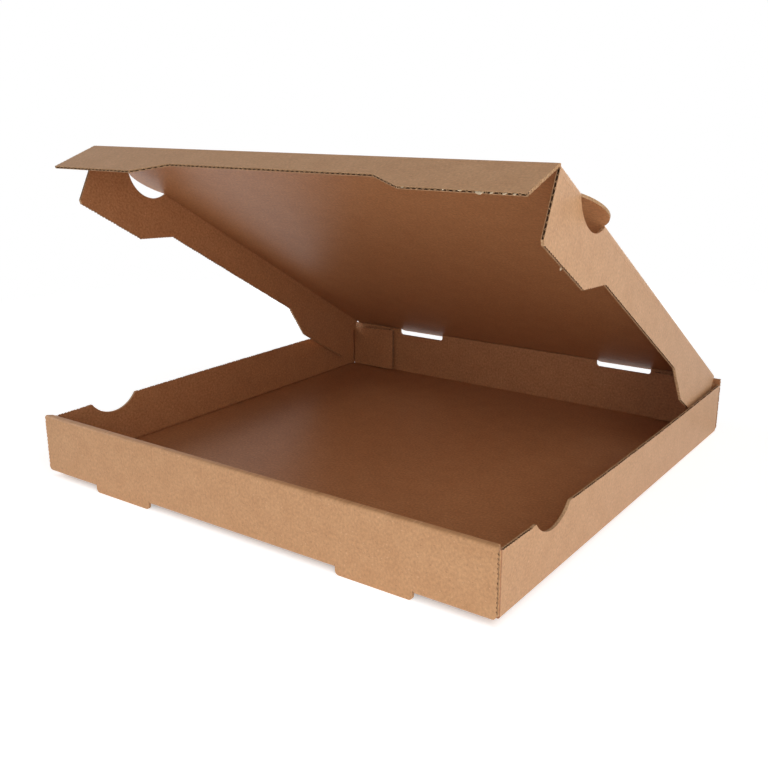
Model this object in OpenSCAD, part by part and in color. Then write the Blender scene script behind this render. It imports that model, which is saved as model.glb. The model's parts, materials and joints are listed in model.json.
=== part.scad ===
// Pizza box die-cut from one sheet of corrugated kraft board and folded, with its lid part open.
// Origin: middle of the floor's underside. +X right, +Y rear (the lid's fold), +Z up. Millimetres.

/* [Board] */
// Thickness of the corrugated board
board_t = 1.6; // [1.2:0.1:2]
// Air between layers of board that are folded onto each other
layer_gap = 0.2; // [0.1:0.05:0.3]
// Air between two panels at a fold that moves
crease_gap = 0.2; // [0.15:0.05:0.3]
// Air round a tongue or lug in the slot that it passes through
kerf = 0.4; // [0.3:0.05:0.6]
// Air between a hanging flap and the wall or floor that it passes
rub_gap = 0.5; // [0.3:0.1:1]

/* [Tray] */
// Outer width, left to right
tray_w = 330; // [260:1:500]
// Outer depth, front to rear
tray_d = 330; // [260:1:500]
// Height of the rolled front wall
front_h = 37.5; // [34:0.5:60]
// Height of the lid's fold line above the front wall
hinge_rise = 2.7; // [2.5:0.1:6]
// Length of the corner tabs that the side walls end in
corner_tab_l = 45; // [25:1:60]
// Radius of the front and rear walls' lower outer corners
wall_corner_r = 4; // [2:0.5:8]

/* [Lugs and slots] */
// Distance from the middle of the box to the near end of each lug
lug_offset = 70.5; // [50:0.5:75]
// Width of the lugs that stand below the front wall
front_lug_w = 48; // [30:0.5:50]
// Reach of those lugs below the underside
front_lug_h = 4; // [2:0.5:6]
// Width of the lugs that stand behind the lid's fold
rear_lug_w = 42.5; // [30:0.5:50]
// Reach of those lugs from the fold
rear_lug_h = 4.5; // [3:0.5:6]
// Radius of the lugs' corners
lug_corner_r = 2.5; // [1:0.25:3]

/* [Vents] */
// Distance from the front of the tray to the middle of the side vents
vent_from_front = 55; // [40:0.5:70]
// Width of the notch in each side wall
notch_w = 37.5; // [28:0.5:44]
// Depth of that notch
notch_h = 9.2; // [6:0.2:12]
// Width of the ear that the lid keeps over each vent
ear_w = 35; // [26:0.5:40]
// Reach of the ear beyond the fold
ear_h = 9; // [6:0.2:11]

/* [Lid] */
// How far the lid stands open
lid_open = 30.5; // [5:0.5:60]
// Room between a side flap at right angles and the side wall
side_room = 2.7; // [2:0.1:5]
// Room between the swing of the tucked front flap and the rolled front wall
tuck_room = 0.8; // [0.5:0.1:3]

/* [Front flap] */
// How far the front flap is folded down from the lid's plane
front_fold = 50.4; // [35:0.1:60]
// Depth of the flap at its ends
front_flap_d = 32.3; // [25:0.1:34]
// Depth of the flap in its middle
front_flap_mid_d = 20.7; // [12:0.1:24]
// Half the length of the shallow middle, at its edge
front_mid_half = 71.4; // [40:0.1:80]
// Run of the slanted step at each end of the middle
front_step_run = 21.4; // [8:0.1:30]

/* [Side flaps] */
// How far the left flap is folded down from the lid's plane
left_fold = 95; // [90:0.5:120]
// Depth of the flaps' narrow waist
waist_d = 24; // [16:0.5:28]
// Length of the deep front end, from the front fold
front_pad_l = 56; // [40:0.5:80]
// Distance from the lid's fold to the end of the deep rear end
rear_pad_l = 72; // [40:0.5:90]
// Run of the slanted steps between the waist and the deep ends
pad_step_run = 26; // [10:0.5:30]
// Distance from the lid's fold to the flaps' rear edge, at the flap's own fold
rear_edge_in = 3.2; // [3:0.1:8]
// How far that edge slants forward over the flap's depth
rear_edge_slant = 6; // [0:0.5:12]
// Size of the clipped rear corner
rear_corner_cut = 4.5; // [2:0.5:8]
// Size of the clipped front corner
front_corner_cut = 2; // [1:0.5:5]

/* [Hidden] */
$fn = 48;

// One layer of board with the air beside it
layer = board_t + layer_gap;
// How far a fold, a lug or a tongue is drawn on into the panel that it belongs to
fold_lap = board_t / 2;
// How far a cut is drawn past the face that it opens
cut_past = 1;

// Inner faces of the tray's walls, which are also where its folds turn
wall_x = tray_w / 2 - board_t;
wall_y = tray_d / 2 - board_t;
// Fold lines of the corner tabs, which lie one layer inside the front and rear walls
tab_y = wall_y - layer;
// Inner and outer face of the panel that is rolled down inside the front wall
roll_outer_y = wall_y - 2 * layer + board_t;
roll_inner_y = wall_y - 2 * layer;
roll_half = wall_x - rub_gap;
// The corner tabs stand just above the floor, and the front ones slip under the rolled top
tab_low = board_t + layer_gap;
side_h = front_h - board_t - 2 * layer_gap;

// Slots in the floor, each opened by a lug and closed by a tongue of the rolled panel
floor_slot_d = wall_y - roll_inner_y + kerf;
tongue_w = front_lug_w - 2 * lug_corner_r;
lug_top = board_t + fold_lap;

// The lid turns about the middle of the board at the top of the rear wall
hinge_y = tray_d / 2 - board_t / 2;
hinge_z = front_h + hinge_rise;
rear_wall_top = hinge_z - board_t / 2 - crease_gap;
rear_slot_h = rear_lug_h + board_t / 2 + kerf;
rear_tab_rise = rear_wall_top - side_h - rub_gap;

// The lid's side folds, and its front fold: the tucked front flap swings clear of the rolled wall
lid_half = wall_x - side_room - board_t;
tuck_reach = hinge_y + roll_inner_y - tuck_room;
lid_l = sqrt(tuck_reach ^ 2 - front_flap_d ^ 2) - board_t / 2;
lid_edge = lid_l - board_t / 2 - crease_gap;
vent_y = -tray_d / 2 + vent_from_front;
ear_s = hinge_y - vent_y;

// The side flaps reach down to just above the floor when the lid is shut
flap_d = hinge_z - board_t / 2 - board_t - rub_gap;
// Fold at which a side flap meets its side wall, where the right flap rests
flap_out = 90 - asin((side_room - rub_gap) / flap_d);

kraft = "#b98d68";
kraft_shade = "#ad8260";

// Radius of a circle whose segment is w wide and h high
function segment_r(w, h) = (w ^ 2 / 4 + h ^ 2) / (2 * h);

// Section of a fold: a quarter disc in the first quadrant, with a stub of the panel on its left and,
// where the fold doesn't move, a stub of the panel below it
module fold_section(moves = false) {
    intersection() {
        circle(r = board_t);
        square(board_t);
    }
    translate([-fold_lap, 0]) square([fold_lap, board_t]);
    if (!moves) translate([0, -fold_lap]) square([board_t, fold_lap]);
}

// Circle whose part beyond the X axis, on the +Y side, is a segment w wide and h high
module segment_disc(w, h) {
    r = segment_r(w, h);
    translate([0, h - r]) circle(r = r, $fn = 96);
}

// Outline of a lug: w wide, h deep below the X axis, with round lower corners
module lug_outline(w, h) {
    r = lug_corner_r;
    translate([-w / 2, r - h]) square([w, h - r]);
    translate([r - w / 2, -h]) square([w - 2 * r, r]);
    for (side = [-1, 1])
        translate([side * (w / 2 - r), r - h]) circle(r = r);
}

// Repeats its children at the middle of both lugs of a given width
module at_lugs(w) {
    for (side = [-1, 1])
        translate([side * (lug_offset + w / 2), 0]) children();
}

// Runs a section that is drawn with X to the right and Z up along Y
module along_y(length) {
    rotate([90, 0, 0]) linear_extrude(length, center = true) children();
}

// Runs a section that is drawn with Y to the right and Z up along X
module along_x(length) {
    rotate([90, 0, 90]) linear_extrude(length, center = true) children();
}

// Floor with both side walls, folded from one strip, with the notches in the walls' upper edges
module floor_and_sides() {
    difference() {
        along_y(2 * tab_y) {
            translate([-wall_x, 0]) square([2 * wall_x, board_t]);
            for (side = [0, 1])
                mirror([side, 0]) {
                    translate([wall_x, board_t]) mirror([0, 1]) fold_section();
                    translate([wall_x, board_t]) square([board_t, side_h - board_t]);
                }
        }
        translate([0, vent_y, side_h])
            rotate([90, 0, 90])
                linear_extrude(tray_w + 2 * cut_past, center = true)
                    mirror([0, 1]) segment_disc(notch_w, notch_h);
    }
}

// Outline of a corner tab seen from inside: its upper edge climbs by rise from the fold to the free end
module corner_tab_outline(rise) {
    polygon([
        [0, tab_low],
        [corner_tab_l - lug_corner_r, tab_low],
        [corner_tab_l, tab_low + lug_corner_r],
        [corner_tab_l, side_h + rise],
        [0, side_h],
    ]);
}

// Both corner tabs at one end of the tray, each turned in from its side wall round an upright fold
module corner_tabs(rise) {
    for (side = [0, 1])
        mirror([side, 0, 0]) translate([wall_x, tab_y, 0]) {
            translate([0, 0, tab_low]) linear_extrude(side_h - tab_low) fold_section();
            mirror([1, 0, 0]) translate([0, board_t, 0])
                rotate([90, 0, 0]) linear_extrude(board_t) corner_tab_outline(rise);
        }
}

// Outline of the front and rear walls seen from outside, with round lower corners
module wall_outline(height) {
    r = wall_corner_r;
    translate([-tray_w / 2, r]) square([tray_w, height - r]);
    translate([r - tray_w / 2, 0]) square([tray_w - 2 * r, r]);
    for (side = [-1, 1])
        translate([side * (tray_w / 2 - r), r]) circle(r = r);
}

// Section of the front wall: up from the floor's fold, over the rolled top and down inside
module rolled_section() {
    translate([fold_lap - tab_y, 0]) mirror([1, 0]) square([fold_lap + layer, board_t]);
    translate([-wall_y, board_t]) rotate(180) fold_section();
    translate([-tray_d / 2, board_t]) square([board_t, front_h - 2 * board_t]);
    translate([-wall_y, front_h - board_t]) mirror([1, 0]) fold_section();
    translate([-wall_y, front_h - board_t]) square([wall_y - roll_outer_y, board_t]);
    translate([-roll_outer_y, front_h - board_t]) fold_section();
    translate([-roll_outer_y, tab_low]) square([board_t, front_h - board_t - tab_low]);
}

// Plan that trims the rolled part: as wide as the tray outside, and between the side walls inside
module roll_plan() {
    polygon([
        [-tray_w / 2, -tray_d / 2],
        [tray_w / 2, -tray_d / 2],
        [tray_w / 2, -wall_y],
        [roll_half, -tab_y],
        [roll_half, -roll_inner_y],
        [-roll_half, -roll_inner_y],
        [-roll_half, -tab_y],
        [-tray_w / 2, -wall_y],
    ]);
}

// Rolled front wall with the strip of floor in front of the corner tabs
module front_wall() {
    intersection() {
        along_x(tray_w) rolled_section();
        along_y(tray_d) wall_outline(front_h);
        linear_extrude(front_h) roll_plan();
    }
}

// Rear wall with its fold, cut down to let the lid's lugs swing through
module rear_wall() {
    rotate([90, 0, 0])
        translate([0, 0, -tray_d / 2]) linear_extrude(board_t)
            difference() {
                wall_outline(rear_wall_top);
                translate([-tray_w / 2, 0]) square([tray_w, board_t]);
                translate([0, hinge_z]) at_lugs(rear_lug_w)
                    lug_outline(rear_lug_w + 2 * kerf, rear_slot_h);
            }
    along_x(2 * wall_x) {
        translate([wall_y, board_t]) mirror([0, 1]) fold_section();
        translate([tab_y - fold_lap, 0]) square([fold_lap + layer, board_t]);
    }
}

// The whole tray: one folded piece
module tray() {
    color(kraft) {
        difference() {
            union() {
                floor_and_sides();
                front_wall();
            }
            translate([0, -wall_y, -cut_past]) linear_extrude(board_t + cut_past)
                at_lugs(front_lug_w)
                    translate([-front_lug_w / 2 - kerf, -board_t])
                        square([front_lug_w + 2 * kerf, board_t + floor_slot_d]);
        }
        translate([0, -wall_y, lug_top]) rotate([90, 0, 0]) linear_extrude(board_t)
            at_lugs(front_lug_w) lug_outline(front_lug_w, front_lug_h + lug_top);
        translate([0, -roll_inner_y, layer_gap]) rotate([90, 0, 0]) linear_extrude(board_t)
            at_lugs(front_lug_w) translate([-tongue_w / 2, 0]) square([tongue_w, board_t + fold_lap]);
        corner_tabs(rear_tab_rise);
        mirror([0, 1, 0]) corner_tabs(0);
        rear_wall();
    }
}

// Puts the lid's own plane, with the fold along X and the front towards -Y, where the lid stands
module at_hinge() {
    translate([0, hinge_y, hinge_z]) rotate([-lid_open, 0, 0]) children();
}

// Rounded side fold of the lid, on the right, between two distances from the lid's fold
module side_fold(from, to) {
    translate([lid_half, -(from + to) / 2, -board_t / 2]) along_y(to - from) fold_section(moves = true);
}

// Lid: one panel with an ear over each vent, two lugs behind its fold and its rounded side folds
module lid() {
    ear_r = segment_r(ear_w, ear_h);
    vent_half = ear_w / 2 + kerf;
    color(kraft_shade) at_hinge() {
        linear_extrude(board_t, center = true) {
            translate([-lid_half, -lid_edge]) square([2 * lid_half, lid_edge]);
            at_lugs(rear_lug_w) mirror([0, 1]) lug_outline(rear_lug_w, rear_lug_h);
            for (side = [0, 1])
                mirror([side, 0]) intersection() {
                    translate([lid_half, -ear_s]) rotate(-90) segment_disc(ear_w, ear_h);
                    translate([lid_half - fold_lap, -ear_s - ear_r]) square([fold_lap + ear_h, 2 * ear_r]);
                }
        }
        rotate([0, 90, 0]) cylinder(d = board_t, h = 2 * lid_half, center = true);
        for (side = [0, 1])
            mirror([side, 0, 0]) {
                side_fold(rear_edge_in, ear_s - vent_half);
                side_fold(ear_s + vent_half, lid_edge);
            }
    }
}

// Front flap: shallow in the middle, with a round root in the lid's front fold
module front_flap() {
    half = lid_half + board_t;
    step = front_mid_half + front_step_run;
    color(kraft) at_hinge() translate([0, -lid_l, 0]) rotate([front_fold, 0, 0]) {
        rotate([0, 90, 0]) cylinder(d = board_t, h = 2 * half, center = true);
        linear_extrude(board_t, center = true)
            polygon([
                [-half, 0],
                [-half, -front_flap_d],
                [-step, -front_flap_d],
                [-front_mid_half, -front_flap_mid_d],
                [front_mid_half, -front_flap_mid_d],
                [step, -front_flap_d],
                [half, -front_flap_d],
                [half, 0],
            ]);
    }
}

// Side flap on the right of the lid, with its deep ends, its waist and the vent under the lid's ear
module side_flap(fold) {
    waist_rear = rear_pad_l + pad_step_run;
    pad_front = lid_l - front_pad_l;
    waist_front = pad_front - pad_step_run;
    rear_low = rear_edge_in + rear_edge_slant;
    at_hinge() translate([lid_half, 0, -board_t / 2]) rotate([0, fold, 0])
        linear_extrude(board_t) difference() {
            polygon([
                [crease_gap, -rear_edge_in],
                [flap_d - rear_corner_cut, -rear_low],
                [flap_d, -rear_low - rear_corner_cut],
                [flap_d, -rear_pad_l],
                [waist_d, -waist_rear],
                [waist_d, -waist_front],
                [flap_d, -pad_front],
                [flap_d, -lid_edge + front_corner_cut],
                [flap_d - front_corner_cut, -lid_edge],
                [crease_gap, -lid_edge],
            ]);
            translate([0, -ear_s]) rotate(-90)
                segment_disc(ear_w + 2 * kerf, ear_h + kerf);
        }
}

module left_flap() {
    color(kraft) mirror([1, 0, 0]) side_flap(left_fold);
}

module right_flap() {
    color(kraft) side_flap(flap_out);
}

tray();
lid();
front_flap();
left_flap();
right_flap();
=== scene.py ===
"""Looks of the pizza box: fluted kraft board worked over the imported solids, in a white studio."""

import json
import logging
import math
import random
from collections.abc import Callable, Iterable
from dataclasses import dataclass, field, replace
from enum import Enum, IntEnum

import bmesh
import bpy
from bmesh.types import BMEdge, BMesh, BMFace, BMVert
from bpy.types import Material, Mesh, Node, NodeSocket, NodeTree, Object
from mathutils import Euler, Matrix, Vector

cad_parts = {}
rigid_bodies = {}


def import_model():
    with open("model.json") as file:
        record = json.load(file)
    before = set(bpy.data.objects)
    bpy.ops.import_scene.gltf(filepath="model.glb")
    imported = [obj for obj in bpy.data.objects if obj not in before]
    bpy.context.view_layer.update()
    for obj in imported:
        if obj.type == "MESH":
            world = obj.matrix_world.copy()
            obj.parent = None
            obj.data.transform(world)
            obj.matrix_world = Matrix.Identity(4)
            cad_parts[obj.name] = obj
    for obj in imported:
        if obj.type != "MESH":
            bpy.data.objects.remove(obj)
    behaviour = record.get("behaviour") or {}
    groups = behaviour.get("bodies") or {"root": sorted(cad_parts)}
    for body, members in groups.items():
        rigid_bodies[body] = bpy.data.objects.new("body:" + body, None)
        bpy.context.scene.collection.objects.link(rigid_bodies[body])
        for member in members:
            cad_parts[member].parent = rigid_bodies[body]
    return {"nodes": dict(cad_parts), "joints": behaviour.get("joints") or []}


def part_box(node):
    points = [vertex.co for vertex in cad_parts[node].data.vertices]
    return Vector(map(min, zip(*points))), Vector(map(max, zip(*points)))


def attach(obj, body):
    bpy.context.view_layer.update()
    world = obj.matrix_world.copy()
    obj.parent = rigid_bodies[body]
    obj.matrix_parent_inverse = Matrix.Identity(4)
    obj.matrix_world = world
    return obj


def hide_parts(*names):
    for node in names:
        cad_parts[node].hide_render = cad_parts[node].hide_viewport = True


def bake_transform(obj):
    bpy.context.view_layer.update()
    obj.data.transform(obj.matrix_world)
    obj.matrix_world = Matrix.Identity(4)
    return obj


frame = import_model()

MM = 0.001
X_AXIS = Vector((1, 0, 0))
Y_AXIS = Vector((0, 1, 0))
Z_AXIS = Vector((0, 0, 1))
# Faces that meet at more than this show a sharp edge, and faces that meet at less than the next are one
SHARP = math.radians(35)
FLAT = math.radians(0.3)
# Points closer than this are one point
MERGE = 0.001 * MM
# A face with many corners is an edge of the board, and no panel, if a square of this side is larger
EDGE_SPAN = 25 * MM
# A cut is open or slanted where this share of its normal lies along the flutes
OPEN_SHARE = 0.75
SLANT_SHARE = 0.3
# Two unit vectors point the same way, or roughly so, where their product is above these
SAME_WAY = 0.99
ROUGHLY_SAME = 0.9
# They lie across each other where it is below this
CROSSWAYS = 0.3
# A Wave texture turns through one band in this much of its own length
WAVE_BAND = 2 * math.pi / 20
SHEET_UV = "sheet"

Colour = tuple[float, float, float, float]
Place = tuple[float, float, float]
Span = tuple[float, float]

log = logging.getLogger("pizza_box")


class Paper(IntEnum):
    """Which of the board's papers a face shows, in the order of a piece's material slots."""

    OUTER = 0
    INNER = 1
    CUT = 2
    # The fluting's dark brown is partly the fluting paper's own tone and partly painted shade of the hollows
    # it lines
    FLUTING_AND_PAINTED_SHADE = 3


class Edge(Enum):
    """How a cut runs through the board."""

    ACROSS = "across the flutes, so that their ends are open"
    SLANTED = "at a slant to the flutes, so that the rule presses them shut"
    ALONG = "along the flutes, so that the rule's teeth show"


class MixInput(IntEnum):
    """Inputs of a Mix node, by number because their names repeat."""

    SHARE = 0
    FIRST_NUMBER = 2
    SECOND_NUMBER = 3
    FIRST_COLOUR = 6
    SECOND_COLOUR = 7


class MixOutput(IntEnum):
    """Outputs of a Mix node, by number because their names repeat."""

    NUMBER = 0
    COLOUR = 2


def linear(hex_colour: str) -> Colour:
    """Turns an sRGB hex colour into linear values.

    Args:
        hex_colour: Colour as "#rrggbb".

    Returns:
        Linear red, green and blue, and an alpha of 1.
    """
    # The sRGB curve is straight near black and a power above that
    parts = [int(hex_colour[i:i + 2], 16) / 255 for i in (1, 3, 5)]
    red, green, blue = (p / 12.92 if p <= 0.04045 else ((p + 0.055) / 1.055) ** 2.4 for p in parts)
    return red, green, blue, 1.0


def add_node(tree: NodeTree, kind: str, settings: dict | None = None, inputs: dict | None = None) -> Node:
    """Adds a node with its settings and links.

    Args:
        tree: Node tree that gets the node.
        kind: Blender's name of the node type, without its "ShaderNode" prefix.
        settings: Values of the node's own properties.
        inputs: For each input socket, by name or number, a value or the output socket to link to it.

    Returns:
        The new node.
    """
    node = tree.nodes.new("ShaderNode" + kind)
    for name, value in (settings or {}).items():
        setattr(node, name, value)
    for name, value in (inputs or {}).items():
        if isinstance(value, NodeSocket):
            tree.links.new(value, node.inputs[name])
        else:
            node.inputs[name].default_value = value
    return node


def new_material(name: str) -> tuple[Material, NodeTree, Node]:
    """Starts a material.

    Args:
        name: What the real material is.

    Returns:
        The material, its nodes and its shader.
    """
    material = bpy.data.materials.new(name)
    material.use_nodes = True
    tree = material.node_tree
    return material, tree, tree.nodes["Principled BSDF"]


def two_tones(tree: NodeTree, pattern: NodeSocket, span: Span, first: Colour | NodeSocket, second: Colour,
              most: float = 1.0) -> NodeSocket:
    """Goes from one colour to another as a pattern rises.

    Args:
        tree: The material's nodes.
        pattern: Pattern from 0 to 1.
        span: Where in the pattern the second colour starts, and where it is full.
        first: Colour below the span.
        second: Colour above it.
        most: Share of the second colour where it is full.

    Returns:
        The mixed colour.
    """
    share = add_node(tree, "MapRange", inputs={
        "Value": pattern, "From Min": span[0], "From Max": span[1], "To Max": most})
    mixed = add_node(tree, "Mix", {"data_type": "RGBA"}, {
        MixInput.SHARE: share.outputs["Result"],
        MixInput.FIRST_COLOUR: first,
        MixInput.SECOND_COLOUR: second})
    return mixed.outputs[MixOutput.COLOUR]


@dataclass(frozen=True)
class Board:
    """Single-wall corrugated board in metres, cut by a toothed rule."""

    thickness: float = 1.6 * MM
    liner: float = 0.26 * MM
    medium: float = 0.22 * MM
    flute_pitch: float = 3.3 * MM
    # How deep an open edge is hollow, and how far the fluting lies behind it, or behind the tray's edges
    flute_depth: float = 4.0 * MM
    flute_recess: float = 0.15 * MM
    tray_recess: float = 1.2 * MM
    # The cut crushes the fluting against the outer liner: flat along it, with a steep dip once a flute
    flute_steep: float = 3.0
    flute_flat: float = 2.1
    points_per_flute: int = 16
    fewest_points: int = 4
    # The rule's teeth: how far apart, how deep, and the shallowest as a share of the deepest
    tooth_pitch: float = 2.4 * MM
    tooth_depth: float = 0.7 * MM
    tooth_least: float = 0.4
    # An edge along the flutes is hollow inside a rim of liner
    rim: float = 0.13 * MM
    hollow: float = 0.7 * MM
    shortest_toothed: float = 5.0 * MM
    tolerance: float = 0.03 * MM


@dataclass(frozen=True)
class KraftLiner:
    """Unbleached kraft liner, pressed smooth: a mottled tan with loose fibres, and faint flutes behind it."""

    name: str
    light: str
    dark: str
    dark_fleck: str
    pale_fleck: str
    fibre_shade: str
    specular: float
    fibre_light: str = "#ffffff"
    # Where in a noise the darker tone ends and the lighter one is reached
    tone_span: Span = (0.3, 0.7)
    mottle_mm: float = 14.0
    mottle_detail: float = 4.0
    mottle_rough: float = 0.65
    # Kraft fibres are about 3 mm long and far thinner than a pixel, so they are drawn 1.4 mm wide
    fibre_mm: Span = (1.4, 1.8)
    fibre_detail: float = 3.0
    fibre_rough: float = 0.6
    # Flecks show where a noise is high, and the two kinds take different layers of it
    fleck_mm: Span = (1.8, 1.2)
    fleck_detail: float = 1.0
    fleck_share: float = 0.6
    dark_span: Span = (0.66, 0.74)
    dark_layer: float = 3.0
    pale_span: Span = (0.68, 0.76)
    pale_layer: float = 8.0
    roughness: Span = (0.38, 0.5)
    bump_height: float = 0.06 * MM
    bump_strength: float = 0.15
    # How high the flutes stand beside the fibres, and how much they waver
    flute_share: float = 0.35
    flute_waver: float = 0.3

    def material(self, board: Board) -> Material:
        """Makes the liner's material.

        Args:
            board: Board whose flutes show through the liner.

        Returns:
            The material.
        """
        material, tree, shader = new_material(self.name)
        sheet = add_node(tree, "UVMap", {"uv_map": SHEET_UV})
        sheet_mm = add_node(tree, "VectorMath", {"operation": "SCALE"}, {
            0: sheet.outputs["UV"], "Scale": 1 / MM}).outputs["Vector"]
        fibres = self.fibres(tree, sheet_mm)
        colour = self.flecked(tree, sheet_mm, self.ground(tree, sheet_mm, fibres))
        tree.links.new(colour, shader.inputs["Base Color"])
        gloss = add_node(tree, "MapRange", inputs={
            "Value": fibres, "To Min": self.roughness[0], "To Max": self.roughness[1]})
        tree.links.new(gloss.outputs["Result"], shader.inputs["Roughness"])
        shader.inputs["Specular IOR Level"].default_value = self.specular
        tree.links.new(self.relief(tree, sheet_mm, fibres, board), shader.inputs["Normal"])
        return material

    def fibres(self, tree: NodeTree, sheet_mm: NodeSocket) -> NodeSocket:
        """Draws the loose fibres.

        Args:
            tree: The material's nodes.
            sheet_mm: Place on the flat sheet in millimetres.

        Returns:
            Their pattern from 0 to 1.
        """
        width, length = self.fibre_mm
        place = add_node(tree, "VectorMath", {"operation": "MULTIPLY"}, {
            0: sheet_mm, 1: (1 / width, 1 / length, 1.0)})
        noise = add_node(tree, "TexNoise", inputs={
            "Vector": place.outputs["Vector"], "Scale": 1.0,
            "Detail": self.fibre_detail, "Roughness": self.fibre_rough})
        return noise.outputs["Fac"]

    def ground(self, tree: NodeTree, sheet_mm: NodeSocket, fibres: NodeSocket) -> NodeSocket:
        """Mixes the ground colour: a cloudy tan, shaded between the fibres.

        Args:
            tree: The material's nodes.
            sheet_mm: Place on the flat sheet in millimetres.
            fibres: Pattern of the fibres.

        Returns:
            The colour.
        """
        clouds = add_node(tree, "TexNoise", inputs={
            "Vector": sheet_mm, "Scale": 1 / self.mottle_mm,
            "Detail": self.mottle_detail, "Roughness": self.mottle_rough})
        tone = two_tones(tree, clouds.outputs["Fac"], self.tone_span, linear(self.dark), linear(self.light))
        shade = two_tones(tree, fibres, self.tone_span, linear(self.fibre_shade), linear(self.fibre_light))
        shaded = add_node(tree, "Mix", {"data_type": "RGBA", "blend_type": "MULTIPLY"}, {
            MixInput.SHARE: 1.0, MixInput.FIRST_COLOUR: tone, MixInput.SECOND_COLOUR: shade})
        return shaded.outputs[MixOutput.COLOUR]

    def flecked(self, tree: NodeTree, sheet_mm: NodeSocket, colour: NodeSocket) -> NodeSocket:
        """Strews dark and pale flecks over a colour.

        Args:
            tree: The material's nodes.
            sheet_mm: Place on the flat sheet in millimetres.
            colour: Colour of the ground.

        Returns:
            The flecked colour.
        """
        width, length = self.fleck_mm
        for fleck, span, layer in ((self.dark_fleck, self.dark_span, self.dark_layer),
                                   (self.pale_fleck, self.pale_span, self.pale_layer)):
            place = add_node(tree, "VectorMath", {"operation": "MULTIPLY_ADD"}, {
                0: sheet_mm, 1: (1 / width, 1 / length, 1.0), 2: (0.0, 0.0, layer)})
            spots = add_node(tree, "TexNoise", inputs={
                "Vector": place.outputs["Vector"], "Scale": 1.0, "Detail": self.fleck_detail})
            colour = two_tones(tree, spots.outputs["Fac"], span, colour, linear(fleck), self.fleck_share)
        return colour

    def relief(self, tree: NodeTree, sheet_mm: NodeSocket, fibres: NodeSocket, board: Board) -> NodeSocket:
        """Raises the fibres, and the flutes faintly behind them.

        Args:
            tree: The material's nodes.
            sheet_mm: Place on the flat sheet in millimetres.
            fibres: Pattern of the fibres.
            board: Board whose flutes show through the liner.

        Returns:
            The normal for the shader.
        """
        pitch_mm = board.flute_pitch / MM
        flutes = add_node(tree, "TexWave", {"bands_direction": "X", "wave_profile": "SIN"}, {
            "Vector": sheet_mm, "Scale": WAVE_BAND / pitch_mm, "Distortion": self.flute_waver})
        height = add_node(tree, "Math", {"operation": "MULTIPLY_ADD"}, {
            0: flutes.outputs["Fac"], 1: self.flute_share, 2: fibres})
        bump = add_node(tree, "Bump", inputs={
            "Strength": self.bump_strength, "Distance": self.bump_height, "Height": height.outputs["Value"]})
        return bump.outputs["Normal"]


@dataclass(frozen=True)
class RoughPaper:
    """Bare paper without the liner's pressed face: matt, with fibres that stand out of it."""

    name: str
    light: str
    dark: str
    grain_mm: float
    grain_detail: float = 3.0
    tone_span: Span = (0.35, 0.65)
    roughness: float = 0.85
    bump_height: float = 0.1 * MM
    bump_strength: float = 0.4

    def material(self) -> Material:
        """Makes the paper's material.

        Returns:
            The material.
        """
        material, tree, shader = new_material(self.name)
        shader.inputs["Roughness"].default_value = self.roughness
        place = add_node(tree, "TexCoord")
        grains_per_metre = 1 / (self.grain_mm * MM)
        noise = add_node(tree, "TexNoise", inputs={
            "Vector": place.outputs["Object"], "Scale": grains_per_metre, "Detail": self.grain_detail})
        grain = noise.outputs["Fac"]
        tone = two_tones(tree, grain, self.tone_span, linear(self.dark), linear(self.light))
        tree.links.new(tone, shader.inputs["Base Color"])
        bump = add_node(tree, "Bump", inputs={
            "Strength": self.bump_strength, "Distance": self.bump_height, "Height": grain})
        tree.links.new(bump.outputs["Normal"], shader.inputs["Normal"])
        return material


@dataclass
class Papers:
    """The finishes of one sheet, each made once and shared by every piece."""

    board: Board
    outer: Material = field(init=False)
    inner: Material = field(init=False)
    cut: Material = field(init=False)
    fluting: Material = field(init=False)
    torn: Material = field(init=False)

    def __post_init__(self) -> None:
        """Makes the five materials."""
        self.outer = KraftLiner(
            "outer_kraft_liner", light="#deac7f", dark="#d4a174", dark_fleck="#ae7e56", pale_fleck="#e9c09a",
            fibre_shade="#e4e0db", specular=0.25).material(self.board)
        # The inner liner is a darker, redder copy of the outer one: painted shade of the box's inside
        self.inner = KraftLiner(
            "inner_kraft_liner", light="#c48a5e", dark="#b97f54", dark_fleck="#8e5c3a", pale_fleck="#d29f76",
            fibre_shade="#d0c9c0", specular=0.45).material(self.board)
        self.cut = RoughPaper("die_cut_board_edge", "#c69e76", "#a47c56", grain_mm=0.9).material()
        # Dark brown: partly the fluting paper's tone, partly painted shade of the hollow edges and open
        # flutes it lines
        self.fluting = RoughPaper("fluting_paper", "#76543a", "#573b26", grain_mm=1.2).material()
        self.torn = RoughPaper("torn_kraft_fibre", "#ecd9bd", "#d0b28b", grain_mm=0.6).material()

    def dress(self, mesh: Mesh) -> None:
        """Puts the liners, cut edge and fluting, which is partly painted shade, into a mesh's slots, in the
        order of Paper.
        """
        for material in (self.outer, self.inner, self.cut, self.fluting):
            mesh.materials.append(material)


@dataclass(frozen=True)
class Lay:
    """How the sheet lies in one panel: the way that its flutes run, and the way across them."""

    flutes: Vector
    across: Vector

    @property
    def normal(self) -> Vector:
        """Direction through the board."""
        return self.flutes.cross(self.across)

    def edge(self, normal: Vector) -> Edge:
        """Tells how an edge face cuts the flutes.

        Args:
            normal: The face's normal.

        Returns:
            The kind of edge.
        """
        share = abs(normal.dot(self.flutes))
        if share > OPEN_SHARE:
            return Edge.ACROSS
        return Edge.SLANTED if share > SLANT_SHARE else Edge.ALONG


@dataclass(frozen=True)
class Hinge:
    """Fold line that moves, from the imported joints."""

    name: str
    parent: str
    child: str
    place: Vector
    axis: Vector

    @classmethod
    def named(cls, name: str) -> "Hinge":
        """Finds a joint of the frame.

        Args:
            name: The joint's name.

        Returns:
            Its two bodies, a point on its axis and the axis.
        """
        joint = next(j for j in frame["joints"] if j["name"] == name)
        return cls(name, joint["parent"], joint["child"],
                   Vector(joint["pos_m"]), Vector(joint["axis"]).normalized())


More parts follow.
